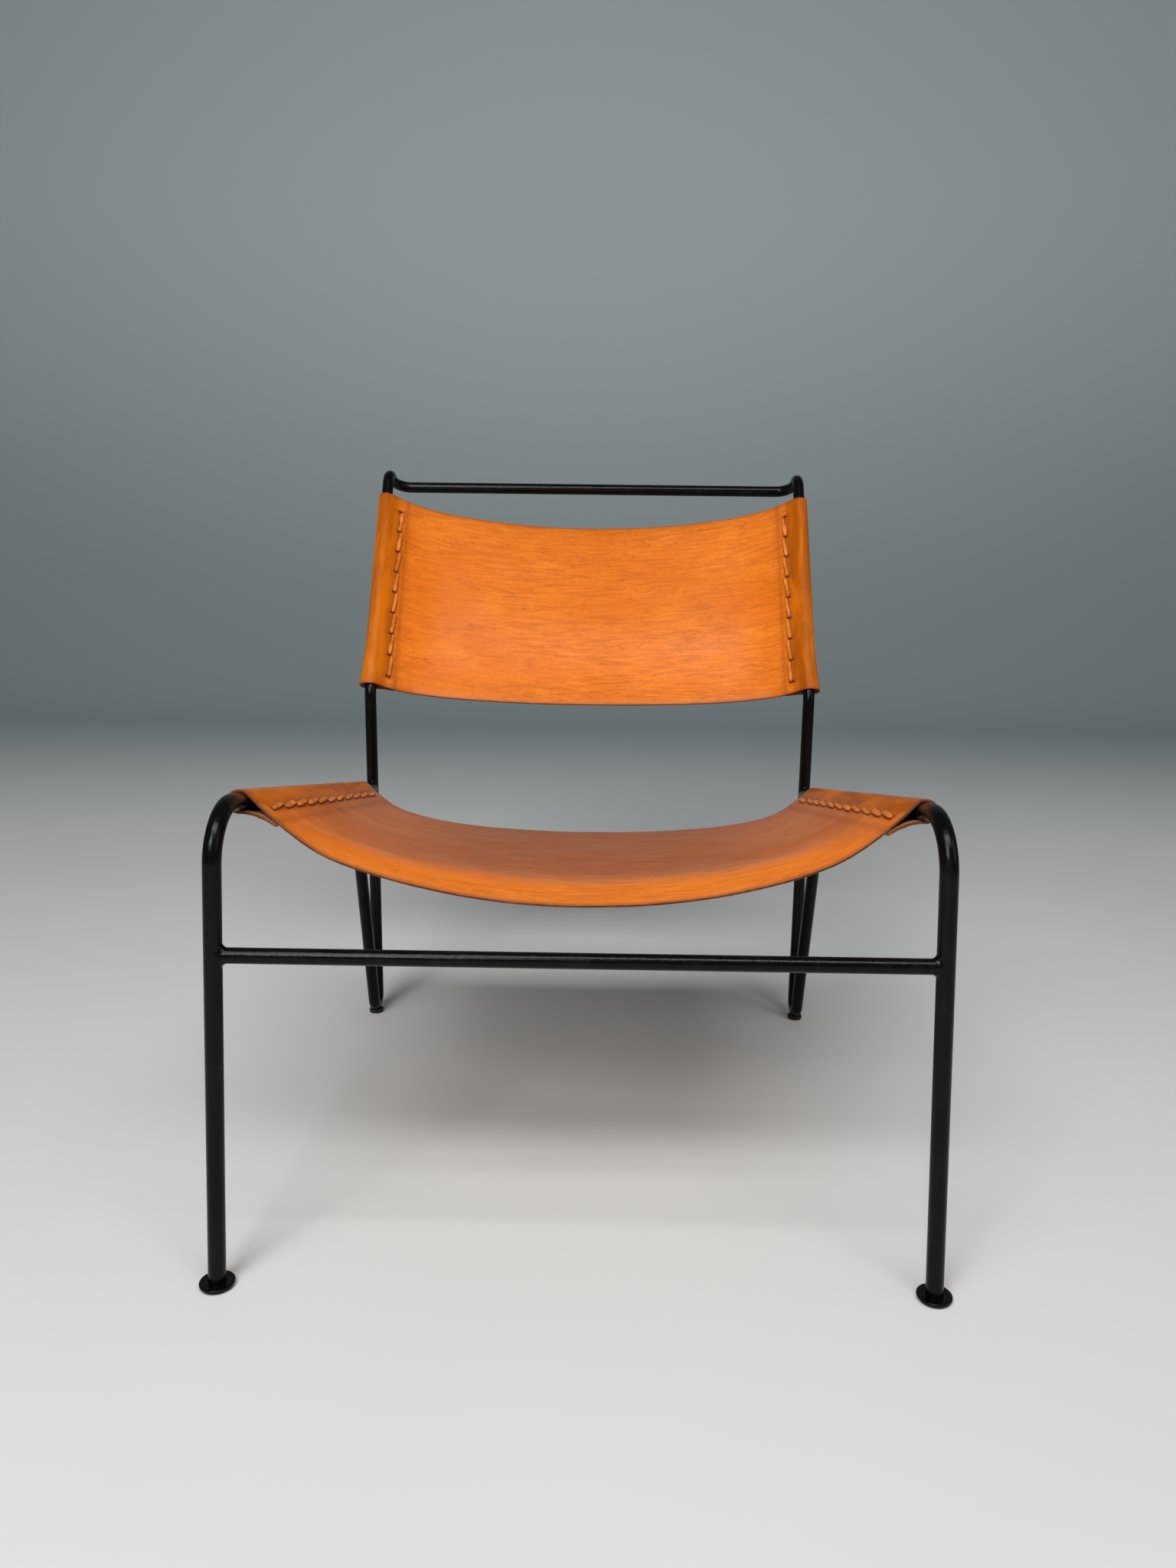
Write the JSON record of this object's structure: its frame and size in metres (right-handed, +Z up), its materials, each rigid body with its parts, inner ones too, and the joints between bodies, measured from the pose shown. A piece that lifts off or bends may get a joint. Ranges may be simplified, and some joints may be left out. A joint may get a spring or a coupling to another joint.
{
  "type": "sling lounge chair",
  "caption": "Low lounge chair: leather seat and back slings folded round a bent, black-lacquered steel bar frame and laced along their edges.",
  "frame": {"origin": "centre of the footprint, on the floor", "axes": "+Z up, +Y from the front legs to the back, +X to the right for someone facing the chair"},
  "size_m": [0.682, 0.894, 0.7849],
  "materials": {
    "lacquered_steel": "satin black lacquer, lightly scuffed",
    "saddle_leather": "cognac saddle leather, satin, darker at its folds",
    "thong_leather": "flat leather thong, satin",
    "black_rubber": "matt black"
  },
  "bodies": {
    "root": {"back_bar_left": "lacquered_steel", "back_bar_right": "lacquered_steel", "back_lace_left": "thong_leather", "back_lace_right": "thong_leather", "back_sling": "saddle_leather", "brace_weld_left": "lacquered_steel", "brace_weld_right": "lacquered_steel", "foot_disc_left": "lacquered_steel", "foot_disc_right": "lacquered_steel", "foot_pad_left": "black_rubber", "foot_pad_right": "black_rubber", "front_stretcher": "lacquered_steel", "rail_weld_left": "lacquered_steel", "rail_weld_right": "lacquered_steel", "rear_glide_left": "black_rubber", "rear_glide_right": "black_rubber", "seat_lace_left": "thong_leather", "seat_lace_right": "thong_leather", "seat_sling": "saddle_leather", "side_bar_left": "lacquered_steel", "side_bar_right": "lacquered_steel", "stretcher_weld_left": "lacquered_steel", "stretcher_weld_right": "lacquered_steel", "top_rail": "lacquered_steel"}
  },
  "joints": []
}
